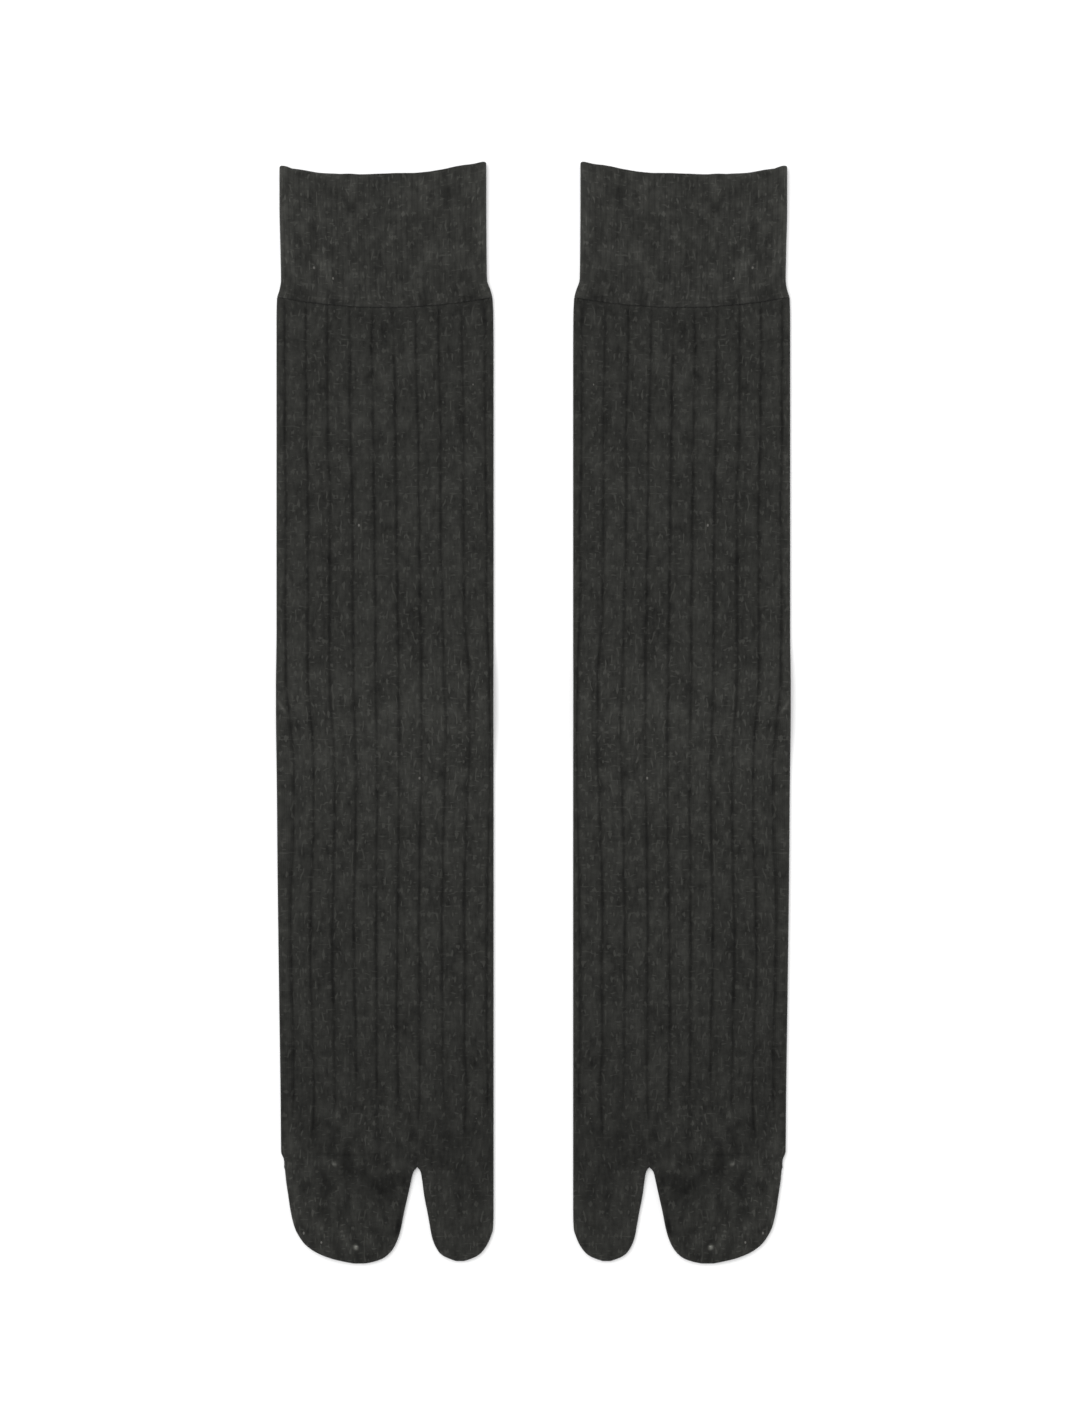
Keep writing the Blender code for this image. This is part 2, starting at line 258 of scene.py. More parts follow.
# %% Ribs
WALES_PER_RIB = 8
RIB = 9.25
RIB_DEPTH, RIB_DOME = 0.68, 0.12
GROOVE_HALF, GROOVE_WOBBLE = 0.47, 0.22
GROOVE_ROWS = (
    # station, and the place of each groove
    (400, -41.7, -33, -24.1, -14.7, -5.6, 3.2, 12.3, 21.7, 31.3, 41.4),
    (350, -41.7, -32.7, -24.1, -14.6, -5.1, 4.2, 13.5, 22.7, 32.3, 41.3),
    (312, -41, -32, -22.9, -13.6, -4.7, 4.6, 14, 22.8, 32.3, 41.8),
    (270, -41.3, -32.1, -23.1, -13.3, -4, 5.1, 14.4, 23.7, 32.7, 42.2),
    (240, -40.9, -31.8, -22.7, -13, -3.9, 5.7, 14.9, 24.6, 34.8, 43.4),
    (213, -38.1, -29.6, -21, -12.2, -3.5, 5.8, 15.2, 25.2, 34.9, 43.5),
    (195, -37.7, -29.5, -20.8, -11.8, -3.2, 5.8, 15, 24.6, 34.1, 43.2),
    (140, -39.3, -31, -21.9, -13.1, -3.8, 5.1, 13.9, 23.6, 32.8, 42.1),
    (88, -38, -30.1, -21, -12.2, -3.4, 4.8, 14, 23.6, 33, 42.2),
    (74, -37.9, -29.6, -20.8, -12.1, -3.3, 5.5, 14.2, 24, 33.4, 42.6),
    (CROTCH, -39.2, -31, -22, -13.1, -4.4, 4.1, CROTCH_ACROSS, 22.8, 32.1, 41.4),
)
GROOVE_COUNT = len(GROOVE_ROWS[0]) - 1
BACK_GROOVES = [-41.9 + 9.22 * number for number in range(GROOVE_COUNT)]
GROOVE_DEPTHS = (
    # station, and how deep the grooves are there
    (400, 0.88), (367, 0.88), (330, 1), (290, 0.92), (255, 1.06), (228, 0.9),
    (202, 0.77), (175, 0.9), (145, 1.06), (115, 1), (88, 0.82), (62, 1.02),
)
SPLIT, TURN = 6, 110
NARROWED, NARROW_BELOW = 0.04, 214
RIB_ENDS = (56, 51.5, 61, 62, 62.5, 63.5, 57.5, 65.5, 50, 61)
RIB_PARTS = (0, 0.04, 0.085, 0.14, 0.22, 0.35, 0.5, 0.65, 0.78, 0.86, 0.915, 0.96)
STRIP_PARTS = (0, 0.13, 0.26, 0.39, 0.52, 0.62, 0.72, 0.84, 0.93)
FRONT_STRIPS, BACK_STRIPS = (4.84, 4.34), (4.44, 4.94)
_, *groove_curves = curves(GROOVE_ROWS)
_, groove_depth = curves(GROOVE_DEPTHS)


def front_groove(number, station):
    wobble = GROOVE_WOBBLE * uneven(number, station, 17) * smooth((station - CROTCH) / 20)
    return groove_curves[number](station) + wobble


def back_groove(number, station):
    """Place of a back groove, which on the sole only leads the columns to the crotch."""
    turned = clamp((TURN - station) / (TURN - CROTCH))
    narrowed = 1 - NARROWED * smooth((NARROW_BELOW - station) / 150)
    across = BACK_GROOVES[number]
    return mix(across * narrowed, across, turned) + (CROTCH_ACROSS - BACK_GROOVES[SPLIT]) * turned


def cloth_to(distance, fold=FOLD):
    """Length of cloth from the middle of a fold to a distance from the edge."""
    return distance - fold + fold * pi / 2


def fold_in(cloth, fold=FOLD):
    """Distance from the edge that such a length of cloth reaches."""
    quarter = fold * pi / 2
    return fold * (1 - cos(cloth / fold)) if cloth < quarter else fold + cloth - quarter


def columns_at(station, left, right, groove_at):
    """Places of the columns of a sheet: a strip to the first groove, the ribs, and the other strip."""
    grooves = [groove_at(number, station) for number in range(GROOVE_COUNT)]
    lefts, rights = cloth_to(grooves[0] - left), cloth_to(right - grooves[-1])
    columns = [left + fold_in(part * lefts) for part in STRIP_PARTS]
    for start, end in zip(grooves, grooves[1:]):
        columns += [mix(start, end, part) for part in RIB_PARTS]
    columns.append(grooves[-1])
    return columns + [right - fold_in(part * rights) for part in STRIP_PARTS[::-1]]


def both_columns(station, left, right):
    return [columns_at(station, left, right, groove_at) for groove_at in (front_groove, back_groove)]


def wale_numbers(strips, first, step):
    """The wale at each column. Whole numbers are the middles of wales, and the eights the purl ones."""
    lefts, rights = (WALES_PER_RIB * strip / RIB for strip in strips)
    last = first + step * WALES_PER_RIB * (GROOVE_COUNT - 1)
    numbers = [first - step * lefts * (1 - part) for part in STRIP_PARTS]
    for rib in range(GROOVE_COUNT - 1):
        numbers += [first + step * WALES_PER_RIB * (rib + part) for part in RIB_PARTS]
    return numbers + [last] + [last + step * rights * (1 - part) for part in STRIP_PARTS[::-1]]


def sunk(wale):
    """How deep in a groove a wale lies, from 0 on a crown to 1 in the purl wale."""
    aside = abs(wale - WALES_PER_RIB * round(wale / WALES_PER_RIB))
    dome = (1 - sin(pi * aside / WALES_PER_RIB)) * RIB_DOME
    return dome + (1 - RIB_DOME) / (1 + (aside / GROOVE_HALF) ** 3)


FRONT_WALES = wale_numbers(FRONT_STRIPS, 8, 1)
BACK_WALES = wale_numbers(BACK_STRIPS, 160, -1)
COLUMNS = len(FRONT_WALES)
SPLIT_COLUMN = len(STRIP_PARTS) + SPLIT * len(RIB_PARTS)
print("columns of a sheet, and the one at the crotch:", COLUMNS, SPLIT_COLUMN)

# %% [markdown]
# ## Where the cloth rises and sinks
#
# Pressed cloth is never quite level. It rides up over the folded heel, sinks under the cuff and at the toes'
# joints, and has a few soft waves elsewhere. A simulation would hardly move so flat a thing, so the waves
# are listed one by one, each with its own direction, length, width and height.

# %% Creases
HEEL_TOP, HEEL_END = 234, 196
HEEL_HALF_TOP, HEEL_HALF_END = 42, 24
HEEL_LIFT, HEEL_LEAVE, HEEL_SLOPE, HEEL_SIDE_SLOPE = 3.3, 5, 24, 13
FRONT_CREASES = (
    # across, station, degrees from level, half length, half width, height
    (38, 397.5, 8, 8, 3.2, -0.55),
    (-38, 396.5, -12, 9, 2.6, -0.25),
    (2, 389, 2, 38, 5, -0.18),
    (-12, 377, -4, 26, 6, 0.14),
    (24, 362, 82, 22, 6, -0.16),
    (-27, 344, 97, 26, 7, 0.14),
    (-6, 322, 12, 26, 7, -0.13),
    (30, 306, 76, 24, 8, 0.12),
    (-18, 284, -8, 24, 7, -0.12),
    (10, 262, 3, 40, 9, -0.2),
    (-42.7, 231.1, -55, 3.2, 0.6, 0.45),
    (-41.2, 232, -55, 4.5, 1, -0.3),
    (-36, 224, 30, 8, 2.4, -0.15),
    (37, 226, -30, 9, 3, -0.22),
    (0, 216, 0, 30, 12, 0.1),
    (-8, 168, -5, 34, 8, -0.2),
    (22, 148, 84, 24, 8, 0.13),
    (-22, 132, 96, 22, 6, -0.14),
    (4, 104, 9, 26, 7, -0.12),
    (-16, 84, -10, 22, 7, 0.12),
    (24, 50.5, -3, 9, 3.4, -0.38),
    (-26, 50, 3, 16, 2.6, -0.26),
    (13.3, 47, 90, 7, 3, -0.3),
    (-18, 26, 84, 13, 5, -0.16),
    (-8, 14, 20, 9, 5, 0.12),
    (30, 30, 92, 11, 5, 0.12),
    (32, 16, -15, 7, 4, -0.14),
)
BACK_CREASES = (
    (4, 386, -3, 36, 6, -0.2),
    (-20, 352, 84, 28, 7, -0.16),
    (18, 318, 98, 30, 8, -0.15),
    (-6, 286, 6, 30, 8, -0.2),
    (10, 160, 5, 32, 8, -0.22),
    (-16, 122, 80, 26, 8, -0.18),
    (20, 92, 12, 20, 6, -0.15),
    (-10, 58, -6, 24, 5, -0.2),
)
LUMP_WIDE, LUMP_LONG, LUMP_HEIGHT = 4.6, 9, 0.16
TOE_LUMPS, BIG_TOE_LUMPS, LEG_LUMPS = 1, 0.4, 0.2
TOE_LUMPS_END, LUMP_FADE = 54, 24
SEAM_STATION, SEAM_END, SEAM_HALF, SEAM_DEPTH = 45.4, -6.5, 0.55, 0.3
SEAM_WEAK, SEAM_WANDER = -28, 0.5


def heel_lift(across, station):
    """How far the sock rides up over the heel pouch that is folded under it."""
    above = (HEEL_TOP + HEEL_LEAVE + HEEL_SLOPE - station) / HEEL_SLOPE
    below = (station - (HEEL_END - HEEL_LEAVE - HEEL_SLOPE)) / HEEL_SLOPE
    half = mix(HEEL_HALF_TOP, HEEL_HALF_END, clamp((HEEL_TOP - station) / (HEEL_TOP - HEEL_END)))
    beside = (half + HEEL_LEAVE + HEEL_SIDE_SLOPE - abs(across)) / HEEL_SIDE_SLOPE
    return HEEL_LIFT * smooth(min(above, below)) * smooth(beside)


def creases(across, station, rows):
    """Height of the creases of a table at a place."""
    total = 0
    for middle_across, middle_station, degrees, length, width, height in rows:
        over, along = across - middle_across, station - middle_station
        turn = radians(degrees)
        with_it, over_it = over * cos(turn) + along * sin(turn), along * cos(turn) - over * sin(turn)
        if abs(with_it) <= 2 * length and abs(over_it) <= 3 * width:
            total += height * exp(-((with_it / length) ** 4) - (over_it / width) ** 2)
    return total


def lump(across, station, face):
    """A soft, uneven lift of the knit, from -1 to 1, longer than it is wide."""
    spot = Vector((across / LUMP_WIDE, station / LUMP_LONG, 3 * face))
    return clamp(1.7 * noise.noise(spot) + 0.8 * noise.noise(2.3 * spot), -1, 1)


def lump_share(across, station):
    """How lumpy the cloth is: little on the leg, where ribs keep it straight, and most at the toes."""
    toes = mix(TOE_LUMPS, BIG_TOE_LUMPS, smooth((across - CROTCH_ACROSS + 3) / 6))
    return mix(toes, LEG_LUMPS, smooth((station - TOE_LUMPS_END) / LUMP_FADE))


def toe_seam(across, station):
    """Depth of the linked line, which wanders and is weaker in places."""
    along = smooth((SEAM_END - across) / 4) * mix(0.4, 1, smooth((across - SEAM_WEAK) / 5))
    along *= 0.85 + 0.3 * uneven(51, across, 6)
    middle = SEAM_STATION + SEAM_WANDER * uneven(50, across, 8)
    return SEAM_DEPTH * along * exp(-(((station - middle) / SEAM_HALF) ** 2))


print("creases on the front and the back:", len(FRONT_CREASES), len(BACK_CREASES))

# %% [markdown]
# ## Where the cloth is paler or darker
#
# The cloth's tone changes along the sock. Part of that is the cloth, stretched over the heel and dense
# at the toes, and part is painted light and shade: paler over the heel's bulge and at the toe tips, darker
# at the toes' joints. Over that lie soft spots and lines of painted light and shade on the folds and the
# rounded edges, painted shadow on both sides of the cuff's lower edge, and two knots of pale fibre at the
# toes.

# %% Shades
# partly the cloth's stretch, partly painted light over the heel's bulge and the toe tips and painted shade at
# the toes' joints
TONES = (
    # station, tone: the toes, the foot, over the heel, the leg and the cuff
    (0, 0.98), (8, 0.94), (20, 0.9), (30, 0.81), (46, 0.77), (62, 0.86), (88, 0.855),
    (115, 0.965), (145, 0.98), (175, 1.045), (202, 1.11), (232, 1.145), (262, 1.01),
    (330, 0.99), (367, 0.965), (390, 0.98), (401, 0.97), (414, 0.99), (460, 1),
)
# risen lumps are painted paler and sunk ones darker: painted light and shade
LUMP_TONE = 0.4
KNOTS = (
    # across, station, half length, half width, share
    (-20.9, 41.5, 0.8, 0.8, 3.2),
    (-12.1, 7, 0.8, 0.8, 9),
)
# soft spots of painted light and shade on the folds, and painted light on the rounded outer edges
PAINTED_LIGHT_AND_SHADE = (
    # the same columns
    (-43.8, 335, 1.5, 60, 0.5), (25, 399.5, 6, 4, -0.5),
    (-33, 62, 6, 5, 0.3), (-8, 62, 6, 5, 0.6),
    (12, 58.5, 9, 5, -0.6), (-25, 56, 8, 6, -0.35),
    (-2, 57, 5, 4, 0.45), (30, 52.5, 11, 4, -0.55),
    (5, 50.5, 6, 4, 0.8), (-40, 44, 4, 5, 0.4),
    (-21, 50, 5, 3.5, -0.45), (-34, 46, 6, 7, 0.4),
    (-22, 38.5, 6, 4, -0.7), (-6, 32, 9, 5, -0.95),
    (5, 32.5, 4, 3, 0.45), (-29, 29, 5, 4, 0.4),
    (-28, 13.5, 4, 3, -0.4), (-24, 6, 5, 3, 0.6),
    (-14, 6.5, 4, 3, -0.5), (-38.5, 29, 6, 16, 1.1),
    (-27, 25, 6, 5, 0.35), (2, 20, 5, 7, -0.45),
    (-20, 18, 6, 5, 0.35), (17, 37, 4, 4, 0.35),
    (36, 32, 6, 5, -0.35), (37, 20, 5, 5, 0.25),
)
# a painted highlight on the ridge of the heel's fold, painted shade along the four toes' inner edge, painted
# light along the big toe's
PAINTED_LIGHT_AND_SHADE_LINES = (
    # across, station, degrees from level, half length, half width, share
    (-42.7, 231.1, -55, 3.2, 0.55, 2),
    (7, 27, 82.5, 17, 1.3, -1.1),
    (19.2, 27, 97, 15, 2.2, 0.5),
)
# painted light on the cuff's rounded side edges, and soft spots of painted light and shade on its folds
CUFF_PAINTED_LIGHT_AND_SHADE = (
    # the same columns as the spots of the foot
    (-43, 430, 3.2, 40, 1.1), (41.4, 430, 3.2, 40, 0.75),
    (6, 444, 5.5, 4, 0.55), (36, 443, 5, 4, 0.5),
    (-19, 438, 10, 5, -0.5), (17, 431, 7, 6, -0.45),
    (31, 430, 4, 4, -0.3), (17, 443.5, 4, 3, -0.4),
    (-31, 433, 4, 5, 0.3), (-4, 422, 4, 3, -0.4),
    (10, 408.5, 4, 3, 0.35), (-8, 423, 6, 5, -0.4),
    (2, 417, 6, 5, -0.75), (28, 415, 7, 4, -0.35),
    (-18, 413, 7, 4, 0.4), (24, 405, 8, 5, -0.65),
    (-13, 402, 9, 3, -0.65),
)
# painted shadow of the cuff's lower edge, on the leg's first courses and on the cuff's last
LEG_BORDER, CUFF_BORDER = -0.14, -0.28
BORDER_MIDDLE, BORDER_HALF = 2, 1.9
_, tone_at = curves(TONES)


def shade(across, station, rows):
    """How much paler or darker the spots of a table make a place."""
    return sum(
        share * exp(-(((across - at_across) / length) ** 2) - ((station - at_station) / width) ** 2)
        for at_across, at_station, length, width, share in rows
    )


def border_shade(across, distance, share):
    """How much painted shadow darkens the courses beside the cuff's lower edge."""
    narrow = exp(-(((distance - BORDER_MIDDLE) / BORDER_HALF) ** 2))
    return share * narrow * (0.7 + 0.6 * uneven(191, across, 8))


print("shades of the foot and the cuff:", len(PAINTED_LIGHT_AND_SHADE), len(CUFF_PAINTED_LIGHT_AND_SHADE))

# %% [markdown]
# ## From a flat grid to a tube
#
# Knitted fabric is a grid of wales and courses. So the mesh starts as one, and each of its points is then
# bent to its place on the flattened tube. The grid's own numbers are kept in a UV map called *knit*, the
# wale one way and the course the other, so the stitches of the materials run along the ribs and round the
# folds as the yarn does. A second map lays the cloth out for baking. Two numbers ride on the points:
# *hollow*, how deep in a groove or crease a point lies, which the materials darken with painted shade, and
# *tone*, how pale the cloth is there: painted light and shade, the cloth's stretch and the pale knots of
#                                      fibre.

# %% From a grid to a tube
COURSE = 0.85
WELD = 1e-7
MAPS, NUMBERS = ("knit", "OFBake"), ("hollow", "tone")
BAKE_BREADTH = (0.004, 0.996)


def place(across, station, height, side):
    """A point of a sock in the world, in metres."""
    return side * (AXIS - across) * METRES, (station - LENGTH / 2) * METRES, height * METRES


def weave(mesh, side, rows, courses, wales, bake_across, bake_up):
    """Bends a flat grid through rows of points, each across, station, height, hollow and how much paler.

    courses has a number for each row, and wales a list for each row with the two wale numbers of each column
    of faces. bake_across is the cloth's left and right in the baking map, bake_up each row's height in it.
    """
    columns = len(rows[0])
    made = bmesh.ops.create_grid(mesh, x_segments=columns - 1, y_segments=len(rows) - 1)["verts"]
    knit, bake = (mesh.loops.layers.uv[name] for name in MAPS)
    hollow, tone = (mesh.verts.layers.float[name] for name in NUMBERS)
    numbers = {vertex: divmod(number, columns) for number, vertex in enumerate(made)}
    for vertex, (row, column) in numbers.items():
        across, station, height, depth, risen = rows[row][column]
        vertex.co = place(across, station, height, side)
        # tone: painted light and shade carried in risen, the pale knots of fibre, and the tone along the sock
        pale = 1 + LUMP_TONE * risen + (shade(across, station, KNOTS) if column < columns // 2 else 0)
        vertex[hollow], vertex[tone] = depth, tone_at(station) * pale
    for face in {face for vertex in made for face in vertex.link_faces}:
        cell = min(numbers[vertex][1] for vertex in face.verts)
        for loop in face.loops:
            row, column = numbers[loop.vert]
            loop[knit].uv = wales[row][cell][column - cell], courses[row]
            loop[bake].uv = mix(*bake_across, column / (columns - 1)), bake_up[row]


def knitted(fabrics, side):
    """A piece of one sock, woven from its fabrics. Their points are welded where they lie on each other."""
    mesh = bmesh.new()
    for name in MAPS:
        mesh.loops.layers.uv.new(name)
    for name in NUMBERS:
        mesh.verts.layers.float.new(name)
    for fabric in fabrics:
        weave(mesh, side, *fabric)
    bmesh.ops.remove_doubles(mesh, verts=mesh.verts[:], dist=WELD)
    bmesh.ops.dissolve_degenerate(mesh, edges=mesh.edges[:], dist=WELD)
    bmesh.ops.recalc_face_normals(mesh, faces=mesh.faces[:])
    open_edges = sum(len(edge.link_faces) != 2 for edge in mesh.edges)
    print("faces:", len(mesh.faces), "open or doubled edges:", open_edges)
    return mesh


def dipped(across, station, dip):
    """Where a row lies that sags in its middle."""
    return station - dip * (1 - (across / HALF_WIDTH) ** 2)


def arch(distance, radius):
    """Height of a quarter round: 0 at its foot, and 1 from the radius on."""
    return sqrt(1 - (1 - clamp(distance / radius)) ** 2)


def ring(point, upper, lower):
    """A closed row of points: the upper sheet (1) one way, then the lower one (-1) back."""
    above, below = (
        [point(face, number, column) for number, column in enumerate(columns)]
        for face, columns in ((1, upper), (-1, lower))
    )
    return above + below[-2::-1]


def ring_wales(upper, lower):
    """The wale numbers on both sides of each column of faces of such a row."""
    back = lower[::-1]
    return list(zip(upper, upper[1:])) + list(zip(back, back[1:]))


def folded(left, right, fold, cells):
    """Columns between two folds: how far each is from the edge, and its place across."""
    cloth = cloth_to((right - left) / 2, fold)
    ways = [fold_in(min(column, cells - column) / (cells / 2) * cloth, fold) for column in range(cells + 1)]
    return [(way, left + way if column < cells / 2 else right - way) for column, way in enumerate(ways)]


def stations_between(high, low, step):
    """Stations from high down to just above low, about a step apart."""
    count = max(1, round((high - low) / step))
    return [mix(high, low, number / count) for number in range(count)]


print("one course in mm:", COURSE)

# %% [markdown]
# ## Leg and foot
#
# A section through the pressed tube is an upper sheet and a lower one that join at the rounded side folds.
# At the crotch its middle is pinched together, and each half goes on as a pouch whose sheets meet at the tip
# in a line that is linked. The grid runs up the inside first, turns over at the leg's top and comes down the
# outside, so the cloth has its thickness without a joint.

# %% Sections of the leg and foot
INNER_END = 46
RIM = 0.91
GROOVE_START, GROOVE_LONG, GROOVE_SHORT = 0.35, 0.28, 0.25
BACK_RIBS_ABOVE = 22
# shares of painted shade in the linked line and in crease troughs
SEAM_HOLLOW, CREASE_HOLLOW = 0.4, 0.6


def rib_share(face, number, station):
    """How much of a rib there is: all on the leg and instep, none on the toes and the sole."""
    if face < 0:
        return smooth((station - HEEL_TOP - BACK_RIBS_ABOVE) / 8)
    return smooth((station - RIB_ENDS[number]) / 7)


def drawn_together(upper, lower, share):
    """Moves the columns of two sheets together, where the sheets are about to meet."""
    middle = [(a + b) / 2 for a, b in zip(upper, lower)]
    return [[mix(own, shared, share) for own, shared in zip(sheet, middle)] for sheet in (upper, lower)]


def groove(face, column, across, station, at):
    """How deep a point lies in its groove, which is shallow where it starts under the cuff."""
    wale = (FRONT_WALES if face > 0 else BACK_WALES)[column]
    nearest = (column - len(STRIP_PARTS) + len(RIB_PARTS) / 2) // len(RIB_PARTS)
    number = int(clamp(nearest, 0, GROOVE_COUNT - 1))
    started = smooth((LEG_TOP - 0.6 - station + 1.2 * uneven(180, across, 5)) / 2.4)
    depth = 1 + GROOVE_LONG * uneven(20 * face + number, at, 9)
    depth += GROOVE_SHORT * uneven(60 + 20 * face + number, at, 3.5)
    depth *= groove_depth(at) * mix(GROOVE_START, 1, started)
    return sunk(wale) * rib_share(face, number, at) * depth


def outer_point(face, column, across, station, dip, rounding):
    """A point of the upper (1) or lower (-1) outer sheet, how hollow it is there and how pale."""
    at = dipped(across, station, dip)
    sunken = groove(face, column, across, station, at)
    # the lump is painted paler where it rises and darker where it sinks: painted light and shade
    risen = lump(across, at, face) * lump_share(across, at)
    waves = creases(across, at, FRONT_CREASES if face > 0 else BACK_CREASES) + LUMP_HEIGHT * risen
    if face > 0:
        # painted light and shade of spots and lines on the upper sheet
        risen += shade(across, at, PAINTED_LIGHT_AND_SHADE) + creases(across, at, PAINTED_LIGHT_AND_SHADE_LINES)
        # painted shadow under the cuff's lower edge
        risen += border_shade(across, LEG_TOP - station, LEG_BORDER)
    seam = toe_seam(across, at) if face > 0 else 0
    relief = (waves - seam - RIB_DEPTH * sunken) * rounding
    if face < 0:
        relief = min(relief, 0)
    # painted shade in the grooves, the linked line and the crease troughs, carried by hollow
    hollow = clamp(sunken + SEAM_HOLLOW * seam / SEAM_DEPTH + CREASE_HOLLOW * clamp(-waves))
    height = THICK / 2 + heel_lift(across, at) + face * (THICK / 2 * rounding + relief)
    return across, at, height, hollow, risen


def outer_row(station):
    """A closed row of points round the outside of the leg and foot."""
    left, right, dip = (at(station) for at in body_curves)
    risen_rim = arch(LEG_TOP + 0.3 - station, 1.6)

    def point(face, column, across):
        rim = mix(RIM + 0.07 * uneven(190, across, 7), 1, risen_rim)
        rounding = arch(min(across - left, right - across), FOLD) * rim
        rounding *= arch(hypot(across - CROTCH_ACROSS, station - CROTCH), FOLD)
        return outer_point(face, column, across, station, dip, rounding)

    return ring(point, *both_columns(station, left, right))


def inner_row(station):
    """The same round the inside, which closes in a line where the toes begin."""
    left, right, dip = (at(station) for at in body_curves)
    scale = (right - left - 2 * WALL) / (right - left)

    def point(face, _, across):
        distance = min(across - left, right - across)
        across = mix((left + right) / 2, across, scale)
        at = dipped(across, station, dip)
        half = HOLLOW / 2 * arch(distance, FOLD) * arch(station - INNER_END, 2)
        return across, at, THICK / 2 + heel_lift(across, at) + face * half, 0, 0

    share = 1 - smooth((station - INNER_END) / 20)
    return ring(point, *drawn_together(*both_columns(station, left, right), share))


INNER_STATIONS = [INNER_END, INNER_END + 0.6] + stations_between(LEG_TOP, INNER_END + 2, 8)[::-1]
OUTER_STATIONS = (
    [LEG_TOP + 0.25, LEG_TOP, LEG_TOP - 0.35, LEG_TOP - 0.8, LEG_TOP - 1.4, LEG_TOP - 2.1]
    + stations_between(LEG_TOP - 3, 236, 2.1)
    + stations_between(236, 225, 0.8)
    + stations_between(225, 66, 2.1)
    + stations_between(66, 48, 1.2)
    + stations_between(48, 44, 0.28)
    + [44, 43, 42.2, 41.5, 40.9, 40.4, CROTCH]
)
print("rows outside and inside:", len(OUTER_STATIONS), len(INNER_STATIONS))

# %% [markdown]
# A pouch takes the columns of its half of the tube, and a few millimetres from the crotch they have moved so
# that the new inner edge is a fold like the others. The wales run straight on to the edge, where the machine
# dropped them one after the other to narrow the pouch.

# %% Sections of the pouches
TIP_ROUND = 3.2
EDGE_COLUMNS, EDGE_CLOTH = 8, 0.55
SETTLED = 6
SLIM = 24
BIG_TOE_SHORT = 1
POUCHES = {
    # first and last column, and the columns of its edges in the table
    "four_toes": (0, SPLIT_COLUMN, 1, 2),
    "big_toe": (SPLIT_COLUMN, COLUMNS - 1, 3, 4),
}
TOE_STEPS = [0, 0.2, 0.45, 0.7] + [1 + number / 3 for number in range(15)]
TOE_STEPS += [6 + number / 4 for number in range(16)] + [10, 10.25, 10.5, 10.7, 10.85, 10.95, 11]
CROTCH_COLUMNS = both_columns(CROTCH, *BODY_ROWS[-1][1:3])
front_wale, back_wale = (curve(*pair) for pair in zip(CROTCH_COLUMNS, (FRONT_WALES, BACK_WALES)))


def pouch_columns(columns, left, right, settled):
    """The columns of half the tube, moved between the edges of a pouch."""
    width = right - left
    slim = min(1, width / SLIM)
    edge = [fold_in(EDGE_CLOTH * number) * slim for number in range(EDGE_COLUMNS)]
    share = [(across - columns[0]) / (columns[-1] - columns[0]) for across in columns]
    low, high = share[EDGE_COLUMNS], share[-EDGE_COLUMNS - 1]
    step = (width - 2 * edge[-1]) / (len(columns) - 2 * EDGE_COLUMNS + 1)
    inside = left + edge[-1] + step, right - edge[-1] - step
    own = [left + way for way in edge]
    own += [mix(*inside, (part - low) / (high - low)) for part in share[EDGE_COLUMNS:-EDGE_COLUMNS]]
    own += [right - way for way in edge[::-1]]
    return [mix(left + width * part, across, settled) for part, across in zip(share, own)]


def pouch_row(pouch, step):
    """A closed row of points round a pouch, at a step between the crotch, 0, and the tip, 11."""
    low, high, outer_column, inner_column = POUCHES[pouch]
    to_tip, left, right = (toe_curves[number](step) for number in (0, outer_column, inner_column))
    shorter = BIG_TOE_SHORT if pouch == "big_toe" else 0
    station = to_tip + shorter * (1 - smooth(to_tip / 5))
    tip = arch(to_tip, TIP_ROUND)
    fold = min(FOLD, (right - left) / 4)
    settled = smooth((CROTCH - station) / SETTLED)
    sheets = [pouch_columns(columns[low : high + 1], left, right, settled) for columns in CROTCH_COLUMNS]

    def point(face, number, across):
        rounding = arch(min(across - left, right - across), fold) * tip
        return outer_point(face, low + number, across, station, 0, rounding)

    return ring(point, *drawn_together(*sheets, smooth(1 - to_tip / 8)))


def pouch_wales(points):
    half = len(points) // 2
    front = [front_wale(point[0]) for point in points[: half + 1]]
    back = [back_wale(point[0]) for point in points[half:]]
    return ring_wales(front, back[::-1])


print("columns at the crotch:", len(CROTCH_COLUMNS[0]))

# %% The leg and foot
TOES_UP, LEG_UP, INNER_UP = (0.004, 0.1), (0.105, 0.93), (0.996, 0.935)
BAKE_POUCHES = {"four_toes": (0.004, 0.6), "big_toe": (0.61, 0.996)}


def leg_and_foot():
    """The fabrics of the leg and foot: the tube and two pouches."""
    rows = [inner_row(at) for at in INNER_STATIONS] + [outer_row(at) for at in OUTER_STATIONS]
    courses = [(2 * LEG_TOP + WALL - at) / COURSE for at in INNER_STATIONS]
    courses += [at / COURSE for at in OUTER_STATIONS]
    up = [mix(*INNER_UP, (at - INNER_END) / (LEG_TOP - INNER_END)) for at in INNER_STATIONS]
    up += [mix(*LEG_UP, (at - CROTCH) / (LEG_TOP - CROTCH)) for at in OUTER_STATIONS]
    fabrics = [(rows, courses, [ring_wales(FRONT_WALES, BACK_WALES)] * len(rows), BAKE_BREADTH, up)]
    stations = [toe_curves[0](step) for step in TOE_STEPS]
    courses = [at / COURSE for at in stations]
    up = [mix(*TOES_UP, at / CROTCH) for at in stations]
    for pouch in POUCHES:
        rows = [pouch_row(pouch, step) for step in TOE_STEPS]
        fabrics.append((rows, courses, [pouch_wales(row) for row in rows], BAKE_POUCHES[pouch], up))
    return fabrics


leg_and_foot_fabrics = leg_and_foot()
print("rows of the tube and of each pouch:", [len(rows) for rows, *_ in leg_and_foot_fabrics])

